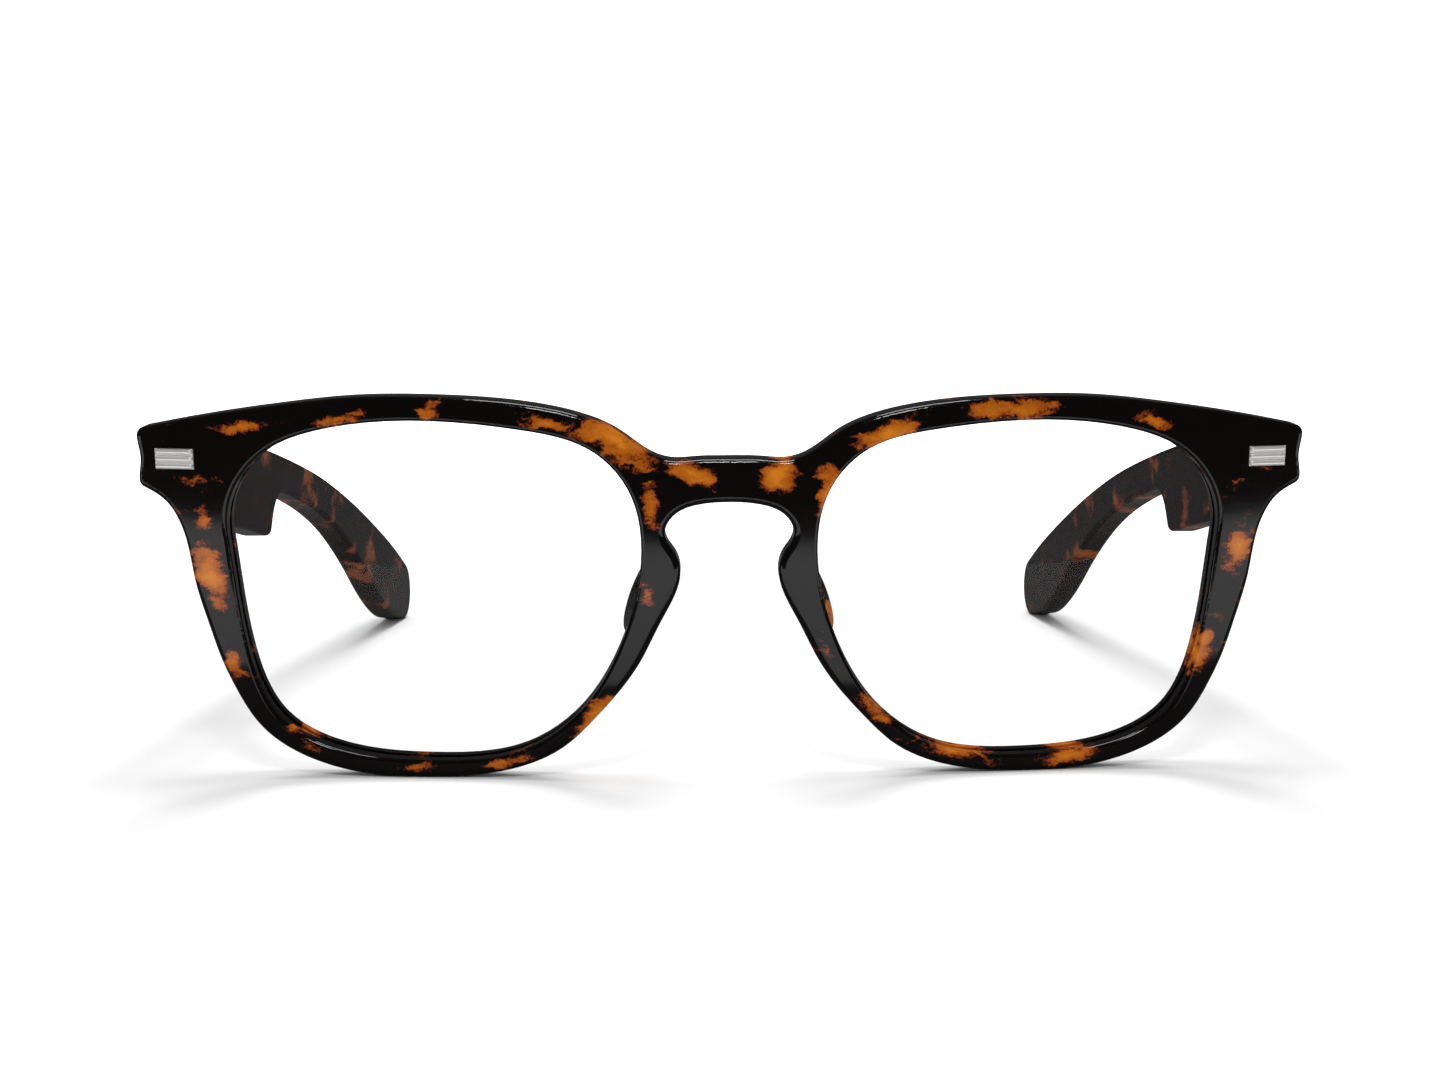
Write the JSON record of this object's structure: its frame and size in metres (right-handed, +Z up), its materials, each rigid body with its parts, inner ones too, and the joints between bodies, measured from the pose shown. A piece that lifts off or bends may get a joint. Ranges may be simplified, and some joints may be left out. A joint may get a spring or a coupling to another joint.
{
  "type": "folding reading glasses",
  "caption": "Keyhole-bridge acetate reading glasses with deep-fronted temples that fold behind the front on screwed barrel hinges.",
  "frame": {"origin": "middle of the footprint of the open glasses, on the table they stand on", "axes": "+X along the front, to the right for someone who looks at its face, +Y from the front to the temple tips, +Z up"},
  "size_m": [0.142, 0.1454, 0.0471],
  "materials": {
    "tortoise_acetate": "polished, black and amber tortoiseshell",
    "lens_plastic": "clear, polished",
    "pad_acetate": "polished, dark tortoiseshell",
    "polished_metal": "polished",
    "hinge_steel": "satin"
  },
  "bodies": {
    "front": {"front_frame": "tortoise_acetate", "lens_left": "lens_plastic", "nose_pad_left": "pad_acetate", "plaque_left": "polished_metal", "plaque_rivets_left": "polished_metal", "hinge_front_leaf_left": "hinge_steel", "hinge_screw_left": "hinge_steel", "lens_right": "lens_plastic", "nose_pad_right": "pad_acetate", "plaque_right": "polished_metal", "plaque_rivets_right": "polished_metal", "hinge_front_leaf_right": "hinge_steel", "hinge_screw_right": "hinge_steel"},
    "temple_left_body": {"temple_left": "tortoise_acetate", "core_strip_left": "hinge_steel", "hinge_temple_leaf_left": "hinge_steel", "hinge_temple_rivets_left": "hinge_steel"},
    "temple_right_body": {"temple_right": "tortoise_acetate", "core_strip_right": "hinge_steel", "hinge_temple_leaf_right": "hinge_steel", "hinge_temple_rivets_right": "hinge_steel"}
  },
  "joints": [
    {"name": "temple_left_fold", "type": "hinge", "parent": "front", "child": "temple_left_body", "pos_m": [-0.0652, -0.05941, 0.03948], "axis": [0, -0.1489, -0.9889], "range_deg": [0, 88]},
    {"name": "temple_right_fold", "type": "hinge", "parent": "front", "child": "temple_right_body", "pos_m": [0.0652, -0.05941, 0.03948], "axis": [0, 0.1489, 0.9889], "range_deg": [0, 68]}
  ]
}
